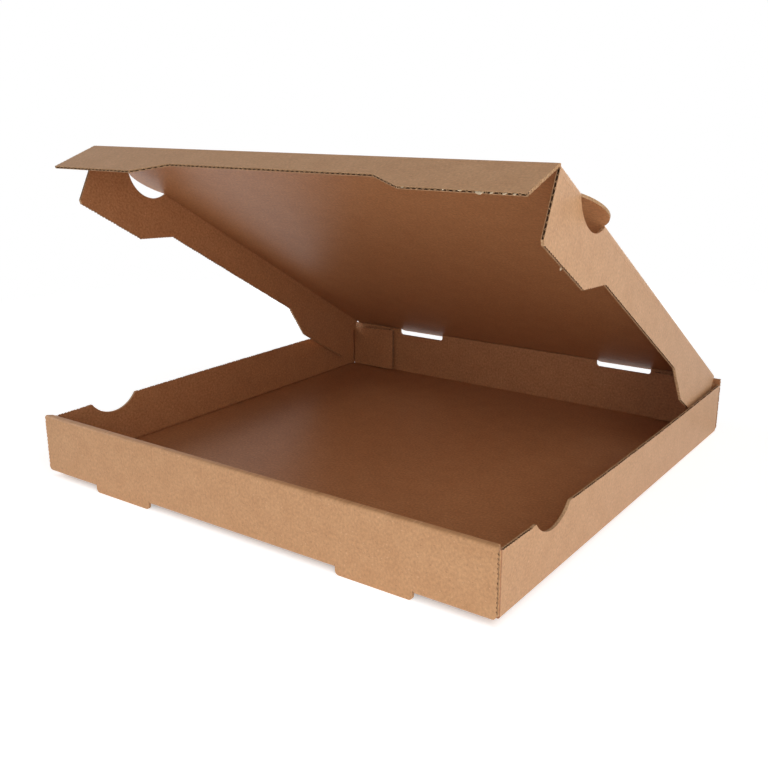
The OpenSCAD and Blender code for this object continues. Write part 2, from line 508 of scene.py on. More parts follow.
def new_object(name: str, bm: BMesh) -> Object:
    """Makes an object at the origin from a bmesh, which is freed.

    Args:
        name: The object's name.
        bm: Its mesh, in the frame of the solids.

    Returns:
        The object, in the scene.
    """
    for edge in bm.edges:
        edge.smooth = edge.is_manifold and edge.calc_face_angle() < SHARP
    mesh = bpy.data.meshes.new(name)
    bm.to_mesh(mesh)
    bm.free()
    obj = bpy.data.objects.new(name, mesh)
    bpy.context.scene.collection.objects.link(obj)
    return obj


def show_paper(faces: Iterable[BMFace], paper: Paper) -> None:
    """Sets the paper that faces show."""
    for face in faces:
        face.material_index = paper


def lay_out_sheet(bm: BMesh, lay_at: Callable[[Vector], Lay]) -> None:
    """Writes the flat sheet's own coordinates: across the flutes and along them, in metres.

    Args:
        bm: A piece's mesh.
        lay_at: Tells how the sheet lies at a point.
    """
    uv = bm.loops.layers.uv.new(SHEET_UV)
    for face in bm.faces:
        lay = lay_at(face.calc_center_median())
        for loop in face.loops:
            loop[uv].uv = (loop.vert.co.dot(lay.across), loop.vert.co.dot(lay.flutes))


@dataclass
class FoldedSheet:
    """One node of the box as fluted board: a copy of its solid, with its cut edges worked."""

    node: str
    board: Board
    papers: Papers
    lay: Lay
    out_way: Vector

    def lay_at(self, point: Vector) -> Lay:
        """Tells how the sheet lies at a point. A flat panel has one lay."""
        return self.lay

    def outward(self, point: Vector) -> Vector:
        """Tells which way the sheet's outer side faces at a point. A flat panel faces one way."""
        return self.out_way

    def hidden(self, point: Vector) -> bool:
        """Tells whether an edge at this point is shut away in a fold. A flat panel has none."""
        return False

    def parting_planes(self) -> list[tuple[Vector, Vector]]:
        """Gives point and normal of the planes that part straight edges from round ends."""
        return []

    def divide(self, bm: BMesh) -> None:
        """Divides panels that bow. A flat piece has none."""

    def bow(self, bm: BMesh) -> None:
        """Bends panels that aren't flat. A flat piece has none."""

    def build(self) -> Object:
        """Models the piece.

        Returns:
            The piece, in place of its CAD node.
        """
        bm = self.copy_of_solid()
        self.part_edges(bm)
        self.divide(bm)
        raw = [f for f in bm.faces if self.is_raw(f)]
        show_paper(raw, Paper.CUT)
        worked = [f for f in raw if self.long_side(f) > self.board.shortest_toothed
                  and not self.hidden(f.calc_center_median())]
        dice = random.Random(len(self.node))
        for face in worked:
            edge = self.lay_at(face.calc_center_median()).edge(face.normal)
            if edge is Edge.ACROSS:
                self.open_flutes(bm, face)
            else:
                self.cut_teeth(bm, face, edge, dice)
        lay_out_sheet(bm, self.lay_at)
        self.bow(bm)
        bm.normal_update()
        piece = new_object(self.node + "_board", bm)
        self.dress(piece)
        return piece

    def dress(self, piece: Object) -> None:
        """Gives the piece its papers and its place in the frame.

        Args:
            piece: The modelled piece.
        """
        self.papers.dress(piece.data)
        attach(piece, self.node)
        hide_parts(self.node)

    def copy_of_solid(self) -> BMesh:
        """Copies the node's solid.

        Returns:
            A closed mesh whose flat faces are whole again.
        """
        bm = bmesh.new()
        bm.from_mesh(frame["nodes"][self.node].data)
        for layers in (bm.loops.layers.uv, bm.loops.layers.float_vector, bm.loops.layers.int):
            for layer in list(layers.values()):
                layers.remove(layer)
        bmesh.ops.remove_doubles(bm, verts=bm.verts, dist=MERGE)
        bmesh.ops.dissolve_limit(bm, angle_limit=FLAT, verts=bm.verts, edges=bm.edges)
        for face in bm.faces:
            outside = face.normal.dot(self.outward(face.calc_center_median())) > 0
            face.material_index = Paper.OUTER if outside else Paper.INNER
            # The strips round a corner are narrower than a liner is thick
            face.smooth = self.short_side(face) < self.board.liner and len(face.verts) == 4
        return bm

    def part_edges(self, bm: BMesh) -> None:
        """Cuts the narrow faces at the parting planes.

        Args:
            bm: The piece's mesh.
        """
        for place, normal in self.parting_planes():
            narrow = [f for f in bm.faces if len(f.verts) > 4 and f.calc_area() < EDGE_SPAN ** 2]
            self.cut(bm, narrow, place, normal)

    @staticmethod
    def cut(bm: BMesh, faces: list[BMFace], place: Vector, normal: Vector) -> None:
        """Cuts faces along a plane and leaves them joined.

        Args:
            bm: The piece's mesh.
            faces: Faces to cut.
            place: Point on the plane.
            normal: The plane's normal.
        """
        geom = set(faces)
        for face in faces:
            geom.update(face.edges)
            geom.update(face.verts)
        bmesh.ops.bisect_plane(bm, geom=list(geom), dist=MERGE, plane_co=place, plane_no=normal)

    def is_raw(self, face: BMFace) -> bool:
        """Tells whether a face is a cut edge: as wide as the board is thick, and across its panel.

        Args:
            face: Face of the solid.

        Returns:
            True for a cut edge.
        """
        if len(face.verts) != 4:
            return False
        thick = [abs(e.calc_length() - self.board.thickness) < self.board.tolerance for e in face.edges]
        narrow = (thick[0] and thick[2]) or (thick[1] and thick[3])
        return narrow and abs(face.normal.dot(self.lay_at(face.calc_center_median()).normal)) < CROSSWAYS

    @staticmethod
    def short_side(face: BMFace) -> float:
        """Length of a face's shortest edge."""
        return min(e.calc_length() for e in face.edges)

    @staticmethod
    def long_side(face: BMFace) -> float:
        """Length of a face's longest edge."""
        return max(e.calc_length() for e in face.edges)

    @staticmethod
    def long_edges(face: BMFace) -> list[BMEdge]:
        """The two longer edges of a face with four."""
        return sorted(face.edges, key=lambda e: e.calc_length())[2:]

    def cut_teeth(self, bm: BMesh, face: BMFace, edge: Edge, dice: random.Random) -> None:
        """Marks an edge with the teeth of the cutting rule.

        Args:
            bm: The piece's mesh.
            face: Edge face with two long sides.
            edge: How it cuts the flutes. One along them is hollow between the liners.
            dice: Source of the teeth's uneven depth.
        """
        board = self.board
        inward = -face.normal.copy()
        sides = self.long_edges(face)
        start, end = (v.co.copy() for v in sides[0].verts)
        along = (end - start).normalized()
        teeth = max(1, round((end - start).length / board.tooth_pitch))
        step = (end - start).length / (2 * teeth)
        made = bmesh.ops.subdivide_edges(bm, edges=sides, cuts=2 * teeth - 1, use_grid_fill=True)
        depths = [board.tooth_depth * dice.uniform(board.tooth_least, 1.0) for _ in range(2 * teeth + 1)]
        stations = {v for v in made["geom_inner"] if isinstance(v, BMVert)}
        bars = list({f for v in stations for f in v.link_faces if f.normal.dot(inward) < -SAME_WAY})
        for vert in stations:
            station = round((vert.co - start).dot(along) / step)
            if station % 2:
                vert.co += inward * depths[station]
        if edge is Edge.SLANTED or not board.hollow:
            return
        rim = bmesh.ops.inset_region(bm, faces=bars, thickness=board.rim, use_even_offset=True)
        show_paper(rim["faces"], Paper.CUT)
        # The sunk bars take the dark fluting colour, which is partly painted shade of the hollow
        show_paper(bars, Paper.FLUTING_AND_PAINTED_SHADE)
        sunk = {v for f in bars for v in f.verts}
        bmesh.ops.translate(bm, verts=list(sunk), vec=inward * board.hollow)

    def open_flutes(self, bm: BMesh, face: BMFace) -> None:
        """Opens an edge between the two liners and lays the end of the fluting in it.

        Args:
            bm: The piece's mesh.
            face: Edge face that cuts across the flutes.
        """
        board = self.board
        middle = face.calc_center_median()
        lay = self.lay_at(middle)
        inward = lay.flutes * (-1 if face.normal.dot(lay.flutes) > 0 else 1)
        ends = [v.co.copy() for v in self.long_edges(face)[0].verts]
        start, end = (p + lay.normal * (middle - p).dot(lay.normal) for p in ends)

        rim = bmesh.ops.inset_individual(bm, faces=[face], thickness=board.liner, use_even_offset=True)
        show_paper(rim["faces"], Paper.CUT)
        pocket = bmesh.ops.extrude_discrete_faces(bm, faces=[face])["faces"][0]
        bmesh.ops.translate(bm, verts=pocket.verts, vec=inward * board.flute_depth)
        # The pocket's walls take the dark fluting colour, which is partly painted shade inside the open
        # flutes
        show_paper({f for e in pocket.edges for f in e.link_faces}, Paper.FLUTING_AND_PAINTED_SHADE)
        self.lay_fluting(bm, start, end, inward, lay)

    def lay_fluting(self, bm: BMesh, start: Vector, end: Vector, inward: Vector, lay: Lay) -> None:
        """Adds a strip of the waved paper behind an open edge.

        Args:
            bm: The piece's mesh.
            start: Middle of the board at one end of the edge.
            end: Middle of the board at the other end.
            inward: Direction of the flutes into the board.
            lay: How the sheet lies here.
        """
        board = self.board
        run = end - start
        run -= run.normalized() * 2 * board.liner
        first = start + run.normalized() * board.liner
        flutes = abs(run.dot(lay.across)) / board.flute_pitch
        points = max(board.fewest_points, round(flutes * board.points_per_flute))
        outside = lay.normal * math.copysign(1.0, lay.normal.dot(self.outward(start)))
        height = (board.thickness - 2 * board.liner - board.medium) / 2
        depth = board.flute_depth - 2 * board.flute_recess
        # The grid runs from -0.5 to 0.5, so half a unit more gives shares from 0 to 1
        half = 0.5
        grid = bmesh.ops.create_grid(bm, x_segments=points, y_segments=1, size=half)
        for vert in grid["verts"]:
            place = first + run * (vert.co.x + half)
            place += inward * (board.flute_recess + depth * (vert.co.y + half))
            turn = math.cos(2 * math.pi * place.dot(lay.across) / board.flute_pitch)
            wave = min(1.0, board.flute_steep * turn + board.flute_flat)
            vert.co = place + outside * height * wave
        bm.normal_update()
        skin = list({f for v in grid["verts"] for f in v.link_faces})
        made = bmesh.ops.solidify(bm, geom=skin, thickness=board.medium)
        skin += [f for f in made["geom"] if isinstance(f, BMFace)]
        strip = list({f for face in skin for v in face.verts for f in v.link_faces})
        show_paper(strip, Paper.CUT)
        bmesh.ops.recalc_face_normals(bm, faces=strip)


@dataclass
class Tray(FoldedSheet):
    """Floor, side walls, rear wall and rolled front wall, folded from one sheet."""

    layer_gap: float = 0.2 * MM
    front_height: float = 37.5 * MM
    side_height: float = 35.5 * MM
    corner_tab: float = 45 * MM
    corner_radius: float = 4 * MM
    # The side walls stand a little bowed, as the board springs back from its folds
    bow_reach: float = 1.6 * MM
    bow_step: float = 15 * MM
    # The rear tabs spring off the rear wall towards their free ends, and clear the floor
    tab_spring: float = 3.4 * MM
    tab_lift: float = 0.8 * MM
    tab_cuts: tuple[float, ...] = (0.25, 0.5, 0.75)
    # The creasing rule leaves a groove along the inside of each fold
    crease_width: float = 1.2 * MM
    crease_depth: float = 1.0 * MM
    # Worked out from the solid: half the tray's depth, and the inner faces of its walls and folded layers
    half_depth: float = field(init=False)
    wall_x: float = field(init=False)
    wall_y: float = field(init=False)
    tab_y: float = field(init=False)
    roll_y: float = field(init=False)

    def __post_init__(self) -> None:
        """Works out the inner faces of the walls and the places of the folded layers."""
        _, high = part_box(self.node)
        layer = self.board.thickness + self.layer_gap
        self.half_depth = high.y
        self.wall_x = high.x - self.board.thickness
        self.wall_y = high.y - self.board.thickness
        self.tab_y = self.wall_y - layer
        self.roll_y = self.tab_y - layer

    @property
    def slack(self) -> float:
        """How far a point may lie from a layer's face and still count as on it."""
        return self.layer_gap / 4

    def lay_at(self, point: Vector) -> Lay:
        """Tells how the sheet lies at a point: level, or upright in a side wall, an end wall or a tab.

        Args:
            point: Middle of a face.

        Returns:
            The lay of the panel there.
        """
        slack = self.slack
        reach = abs(point.y)
        if abs(point.x) > self.wall_x - slack and reach < self.wall_y - slack:
            return Lay(Y_AXIS, Z_AXIS)
        upright = point.z > self.board.thickness + slack
        tab = upright and self.tab_y - slack < reach < self.wall_y - slack
        # The front tabs end below the roll's round top
        if tab and (point.y > 0 or point.z < self.side_height + slack):
            return Lay(X_AXIS, Z_AXIS)
        rolled = upright and point.y < -(self.roll_y - slack)
        if reach > self.wall_y - slack or rolled:
            return Lay(Z_AXIS, X_AXIS)
        return Lay(Y_AXIS, X_AXIS)

    def outward(self, point: Vector) -> Vector:
        """Tells which way the outer side faces: down, out of the walls, and both ways in the rolled wall.

        Args:
            point: Middle of a face.

        Returns:
            A direction on the outer side.
        """
        roll_middle = -(self.roll_y + self.half_depth) / 2
        if point.y < -self.roll_y + self.layer_gap:
            return Vector((0, point.y - roll_middle, point.z - self.front_height / 2))
        if abs(point.x) > self.wall_x - self.layer_gap:
            return Vector((point.x, 0, -abs(point.x)))
        if abs(point.y) > self.tab_y - self.layer_gap:
            return Vector((0, point.y, -abs(point.y)))
        return self.out_way

    def hidden(self, point: Vector) -> bool:
        """Tells whether an edge is shut away: against the floor, under the lid's fold or in the roll."""
        in_floor = -self.board.thickness / 4 < point.z < 2 * self.board.thickness
        return in_floor or point.z > self.front_height + self.board.thickness

    def parting_planes(self) -> list[tuple[Vector, Vector]]:
        """Gives the planes at the ends of the walls' straight edges.

        Returns:
            Point and normal of each.
        """
        return [
            (Y_AXIS * self.tab_y, Y_AXIS),
            (Y_AXIS * -self.tab_y, Y_AXIS),
            (X_AXIS * self.wall_x, X_AXIS),
            (X_AXIS * -self.wall_x, X_AXIS),
            (Z_AXIS * (self.front_height - self.board.thickness), Z_AXIS),
            (Z_AXIS * self.corner_radius, Z_AXIS),
        ]

    def divide(self, bm: BMesh) -> None:
        """Divides the side walls and rear tabs, so that they can bow, and the strips beside their folds.

        Args:
            bm: The tray's mesh.
        """
        steps = round(2 * self.tab_y / self.bow_step)
        wall_cuts = [(Y_AXIS * (i * 2 / steps - 1) * self.tab_y, Y_AXIS) for i in range(1, steps)]
        wall_cuts.append((Y_AXIS * (self.tab_y - self.crease_width), Y_AXIS))
        wall_cuts.append((Z_AXIS * (self.board.thickness + self.crease_width), Z_AXIS))
        for place, normal in wall_cuts:
            walls = [f for f in bm.faces if abs(f.calc_center_median().x) > self.wall_x - self.layer_gap]
            self.cut(bm, walls, place, normal)
        tab_cuts = [self.crease_width] + [self.corner_tab * share for share in self.tab_cuts]
        for side in (-1, 1):
            for inset in tab_cuts:
                tabs = [f for f in bm.faces if self.in_rear_tab(f.calc_center_median())]
                self.cut(bm, tabs, X_AXIS * side * (self.wall_x - inset), X_AXIS)
            level = [f for f in bm.faces
                     if self.on_floor(f.calc_center_median()) and f.normal.z > ROUGHLY_SAME]
            self.cut(bm, level, X_AXIS * side * (self.wall_x - self.crease_width), X_AXIS)

    def on_floor(self, point: Vector) -> bool:
        """Tells whether a point lies on the floor's upper side."""
        return abs(point.z - self.board.thickness) < self.slack

    def in_rear_tab(self, point: Vector) -> bool:
        """Tells whether a point lies in one of the rear corner tabs.

        Args:
            point: Vertex or middle of a face.

        Returns:
            True in a tab, and in the fluting at its free end.
        """
        slack = 2 * self.slack
        inset = self.wall_x - abs(point.x)
        upright = point.z > self.board.thickness + slack
        layer = self.tab_y - slack < point.y < self.wall_y - slack
        return upright and layer and 0 < inset < self.corner_tab + self.board.flute_depth

    def bow(self, bm: BMesh) -> None:
        """Springs the rear tabs off the rear wall, presses the creases and leans the side walls outward.

        Args:
            bm: The tray's mesh.
        """
        for vert in bm.verts:
            self.spring_tab(vert)
            self.press_crease(vert)
            self.lean_wall(vert)

    def spring_tab(self, vert: BMVert) -> None:
        """Moves a vertex of a rear tab off the rear wall, and off the floor if it lies low.

        Args:
            vert: Vertex of the tray.
        """
        if not self.in_rear_tab(vert.co):
            return
        share = min(1.0, (self.wall_x - abs(vert.co.x)) / self.corner_tab)
        off = 1 - (1 - share) ** 2
        vert.co.y -= self.tab_spring * off
        if vert.co.z < self.board.thickness + 2 * self.layer_gap:
            vert.co.z += self.tab_lift * off

    def press_crease(self, vert: BMVert) -> None:
        """Sinks a vertex on the inside of a side wall's fold, at the rear tab or at the floor.

        Args:
            vert: Vertex of the tray.
        """
        slack = self.slack
        if abs(abs(vert.co.x) - self.wall_x) >= slack or abs(vert.co.y) >= self.tab_y + slack:
            return
        sunk = math.copysign(self.crease_depth, vert.co.x)
        if abs(vert.co.y - self.tab_y) < slack and vert.co.z > self.board.thickness + self.layer_gap:
            vert.co += Vector((sunk, self.crease_depth, 0))
        elif self.on_floor(vert.co) and abs(vert.co.y) < self.tab_y - slack:
            vert.co += Vector((sunk, 0, -self.crease_depth))

    def lean_wall(self, vert: BMVert) -> None:
        """Moves a vertex of a side wall outward, most at the middle of its upper edge.

        Args:
            vert: Vertex of the tray.
        """
        if abs(vert.co.x) > self.wall_x - self.board.tooth_depth and abs(vert.co.y) < self.tab_y:
            along = 1 - (vert.co.y / self.tab_y) ** 2
            rise = max(0.0, vert.co.z / self.side_height)
            vert.co.x += math.copysign(self.bow_reach * along * rise, vert.co.x)


@dataclass
class Flap(FoldedSheet):
    """A flap of the lid, which hangs from a fold that moves."""

    hinge: Hinge
    depth_way: Vector

    def hidden(self, point: Vector) -> bool:
        """Tells whether an edge lies in the flap's own fold."""
        return (point - self.hinge.place).dot(self.depth_way) < 2 * self.board.thickness

    def parting_planes(self) -> list[tuple[Vector, Vector]]:
        """Gives the plane at the fold, where the flap's round root ends."""
        return [(self.hinge.place, self.depth_way)]


@dataclass
class Crease:
    """Outer liner that runs on round a fold that moves."""

    hinge: Hinge
    papers: Papers
    lay: Lay
    start_normal: Vector
    end_normal: Vector
    radius: float
    spans: list[Span]
    flat: float = 2.5 * MM
    proud: float = 0.04 * MM
    sunk: float = 0.10 * MM
    steps: int = 10

    @property
    def reach(self) -> float:
        """Distance of the liner's outer side from the hinge's axis."""
        return self.radius + self.proud

    def build(self) -> list[Object]:
        """Models one strip for each span of the fold.

        Returns:
            The strips.
        """
        made = []
        for number, span in enumerate(self.spans):
            strip = self.strip(f"{self.hinge.name}_crease_{number}", *span)
            self.dress(strip)
            made.append(strip)
        return made

    def strip(self, name: str, low: float, high: float) -> Object:
        """Models a strip: its profile, drawn along the fold and given its thickness.

        Args:
            name: The strip's name.
            low: Where it starts, along the hinge's axis from its place.
            high: Where it ends.

        Returns:
            The strip.
        """
        axis = self.hinge.axis
        bm = bmesh.new()
        self.draw_profile(bm, self.hinge.place + axis * low)
        swept = bmesh.ops.extrude_edge_only(bm, edges=bm.edges[:])
        moved = [v for v in swept["geom"] if isinstance(v, BMVert)]
        bmesh.ops.translate(bm, verts=moved, vec=axis * (high - low))
        bmesh.ops.recalc_face_normals(bm, faces=bm.faces)
        bm.faces.ensure_lookup_table()
        middle = bm.faces[len(bm.faces) // 2]
        if middle.normal.dot(self.start_normal + self.end_normal) < 0:
            bmesh.ops.reverse_faces(bm, faces=bm.faces)
        bmesh.ops.solidify(bm, geom=bm.faces[:], thickness=self.proud + self.sunk)
        for face in bm.faces:
            face.smooth = True
        lay_out_sheet(bm, lambda point: self.lay)
        return new_object(name, bm)

    def draw_profile(self, bm: BMesh, centre: Vector) -> None:
        """Draws the strip's profile: a flat, the turn of the fold and another flat.

        Args:
            bm: Mesh of the strip.
            centre: Point of the hinge's axis at this end.
        """
        axis = self.hinge.axis
        turn = self.start_normal.angle(self.end_normal)
        if self.start_normal.cross(self.end_normal).dot(axis) < 0:
            turn = -turn
        flat = math.copysign(self.flat, turn)
        on_way = axis.cross(self.start_normal) * flat
        off_way = axis.cross(self.end_normal) * flat
        vert = bm.verts.new(centre + self.start_normal * self.reach - on_way)
        vert = self.draw(bm, vert, on_way)
        spun = bmesh.ops.spin(bm, geom=[vert], cent=centre, axis=axis, angle=turn, steps=self.steps)
        vert = next(v for v in spun["geom_last"] if isinstance(v, BMVert))
        self.draw(bm, vert, off_way)

    @staticmethod
    def draw(bm: BMesh, vert: BMVert, way: Vector) -> BMVert:
        """Draws an edge on from a vertex.

        Args:
            bm: Mesh of the strip.
            vert: Vertex to start from.
            way: How far and which way the edge goes.

        Returns:
            The new vertex.
        """
        made = bmesh.ops.extrude_vert_indiv(bm, verts=[vert])["verts"][0]
        made.co += way
        return made

    def dress(self, strip: Object) -> None:
        """Gives a strip its paper and bakes its place into its mesh.

        Args:
            strip: The modelled strip.
        """
        strip.data.materials.append(self.papers.outer)
        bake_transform(strip)


@dataclass(frozen=True)
class Tear:
    """One tuft of fibre, in millimetres: its place along the edge, its width and how far it stands out."""

    place_mm: float
    width_mm: float
    reach_mm: float


@dataclass
class TornFibres:
    """Tufts of pale fibre that the cutting rule left on a flap's edge."""

    node: str
    papers: Papers
    edge: Vector
    along: Vector
    out: Vector
    tears: tuple[Tear, ...]
    thickness: float = 0.3 * MM
    points: int = 11
    # How much a tuft curls either way, and the shortest of its ragged fibres beside the longest
    most_curl: float = 0.5
    shortest: float = 0.55

    def build(self) -> Object:
        """Models the tufts.

        Returns:
            All of them, in one piece that rides on the flap.
        """
        dice = random.Random(len(self.tears))
        bm = bmesh.new()
        for tear in self.tears:
            self.add_flake(bm, tear, dice)
        bmesh.ops.recalc_face_normals(bm, faces=bm.faces)
        piece = new_object(self.node + "_torn_fibres", bm)
        self.dress(piece)
        return piece

    def add_flake(self, bm: BMesh, tear: Tear, dice: random.Random) -> None:
        """Adds one tuft as a ragged flake.

        Args:
            bm: Mesh of the tufts.
            tear: Its place and size.
            dice: Source of its curl and its ragged edge.
        """
        flake = bmesh.ops.create_circle(bm, cap_ends=True, segments=self.points, radius=1.0)
        place = self.edge + self.along * tear.place_mm * MM
        half_width, reach = tear.width_mm * MM / 2, tear.reach_mm * MM
        curl = self.along.cross(self.out) * dice.uniform(-self.most_curl, self.most_curl)
        for vert in flake["verts"]:
            ragged = dice.uniform(self.shortest, 1.0)
            side, ahead = vert.co.x * ragged, vert.co.y * ragged
            vert.co = place + self.along * side * half_width + self.out * ahead * reach
            vert.co += curl * max(0.0, ahead) * reach
        bm.normal_update()
        faces = list({f for v in flake["verts"] for f in v.link_faces})
        bmesh.ops.solidify(bm, geom=faces, thickness=self.thickness)

    def dress(self, piece: Object) -> None:
        """Gives the tufts their paper and their place in the frame.

        Args:
            piece: The modelled tufts.
        """
        piece.data.materials.append(self.papers.torn)
        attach(piece, self.node)


@dataclass
class Lid:
    """The lid with its flaps and the folds between them."""

    board: Board
    papers: Papers
    half_width: float = 159.1 * MM
    # Along the side folds from the rear fold: where they start and end, and the vents that part them
    edge_in: float = 3.2 * MM
    edge_out: float = 319.782 * MM
    ear_middle: float = 274.2 * MM
    vent_half: float = 17.9 * MM
    # Along the rear fold from its middle: the lugs that part it
    lug_near: float = 70.1 * MM
    lug_far: float = 113.4 * MM
    # How far the front flap is turned down from the lid, and how deep the flaps are where fibres are torn
    front_fold: float = math.radians(50.4)
    front_depth: float = 32.0 * MM
    side_depth: float = 37.1 * MM
    # Tufts from the front flap's middle to its right end, and from the right flap's rear to its front
    front_tears: tuple[Tear, ...] = (
        Tear(96, 2.0, 1.2), Tear(118, 1.6, 0.9), Tear(127, 2.6, 1.4), Tear(137, 5.2, 2.6),
        Tear(143, 2.0, 1.2), Tear(149.5, 2.6, 1.4), Tear(154.5, 2.2, 1.3))
    right_tears: tuple[Tear, ...] = (Tear(292, 2.2, 1.2),)
    # Taken from the frame: the four folds, and how the lid stands
    rear: Hinge = field(init=False)
    front: Hinge = field(init=False)
    left: Hinge = field(init=False)
    right: Hinge = field(init=False)
    forward: Vector = field(init=False)
    up: Vector = field(init=False)
    lay: Lay = field(init=False)

    def __post_init__(self) -> None:
        """Works out how the lid stands from the hinges of the frame."""
        self.rear = Hinge.named("lid_fold")
        self.front = Hinge.named("front_flap_fold")
        self.left = Hinge.named("left_flap_fold")
        self.right = Hinge.named("right_flap_fold")
        self.forward = self.right.axis * -1
        self.up = X_AXIS.cross(self.forward) * -1
        self.lay = Lay(self.forward, X_AXIS)

    def build(self) -> list[Object]:
        """Models the lid, its three flaps and the creases between them.

        Returns:
            All the pieces.
        """
        pieces = [FoldedSheet("lid", self.board, self.papers, self.lay, self.up).build()]
        pieces += self.build_front_flap()
        pieces += self.build_side_flap(self.left, -X_AXIS, ())
        pieces += self.build_side_flap(self.right, X_AXIS, self.right_tears)
        pieces += self.build_rear_crease()
        return pieces

    def build_front_flap(self) -> list[Object]:
        """Models the front flap, its fold and its torn edge.

        Returns:
            The pieces.
        """
        turn = Matrix.Rotation(self.front_fold, 3, X_AXIS)
        outward, depth_way = turn @ self.up, turn @ self.forward
        # The rule has pressed the front flap's two ends shut
        shut = replace(self.board, hollow=0.0)
        flap = Flap("front_flap", shut, self.papers, Lay(depth_way, X_AXIS), outward,
                    hinge=self.front, depth_way=depth_way).build()
        creases = Crease(self.front, self.papers, self.lay, self.up, outward, self.board.thickness / 2,
                         [(-self.half_width, self.half_width)]).build()
        edge = self.front.place + depth_way * self.front_depth
        torn = TornFibres("front_flap", self.papers, edge, X_AXIS, depth_way, self.front_tears).build()
        return [flap, *creases, torn]

    def build_side_flap(self, hinge: Hinge, side: Vector, tears: tuple[Tear, ...]) -> list[Object]:
        """Models a side flap, its fold and its torn edge.

        Args:
            hinge: The flap's fold.
            side: The way to that side of the box.
            tears: Tufts on the flap's lower edge, if it has any.

        Returns:
            The pieces.
        """
        outward = self.flap_normal(hinge.child, side)
        depth_way = self.forward.cross(outward)
        if depth_way.dot(self.up) > 0:
            depth_way.negate()
        pieces = [Flap(hinge.child, self.board, self.papers, Lay(self.forward, depth_way), outward,
                       hinge=hinge, depth_way=depth_way).build()]
        if tears:
            edge = hinge.place + depth_way * self.side_depth
            pieces.append(TornFibres(hinge.child, self.papers, edge, self.forward, depth_way, tears).build())
        spans = [(self.edge_in, self.ear_middle - self.vent_half),
                 (self.ear_middle + self.vent_half, self.edge_out)]
        if hinge.axis.dot(self.forward) < 0:
            spans = [(-high, -low) for low, high in spans]
        pieces += Crease(hinge, self.papers, self.lay, self.up, outward, self.board.thickness, spans).build()
        return pieces

    def build_rear_crease(self) -> list[Object]:
        """Models the fold between the lid and the tray's rear wall.

        Returns:
            Its three strips, beside and between the lugs.
        """
        spans = [(-self.half_width, -self.lug_far), (-self.lug_near, self.lug_near),
                 (self.lug_far, self.half_width)]
        return Crease(self.rear, self.papers, self.lay, Y_AXIS, self.up,
                      self.board.thickness / 2, spans).build()

    @staticmethod
    def flap_normal(node: str, guess: Vector) -> Vector:
        """Finds the outer normal of a flap from its largest face.

        Args:
            node: The flap's CAD node.
            guess: Rough direction of the outer side.

        Returns:
            The normal.
        """
        faces = [p for p in frame["nodes"][node].data.polygons if p.normal.dot(guess) > ROUGHLY_SAME]
        return max(faces, key=lambda p: p.area).normal.copy()


def facing(place: Vector, aim: Vector) -> Euler:
    """Gives the turn of a light or camera that looks from a place at a point."""
    return (aim - place).to_track_quat("-Z", "Y").to_euler()


@dataclass(frozen=True)
class Softbox:
    """Square soft light: where it hangs and the length of its side, in metres, and its power in watts."""

    name: str
    place: Place
    size: float
    power: float

    def hang(self, aim: Vector) -> None:
        """Hangs the light.

        Args:
            aim: Point that it faces.
        """
        lamp = bpy.data.lights.new(self.name, "AREA")
        lamp.size = self.size
        lamp.energy = self.power
        light = bpy.data.objects.new(self.name, lamp)
        light.location = self.place
        light.rotation_euler = facing(light.location, aim)
        bpy.context.scene.collection.objects.link(light)


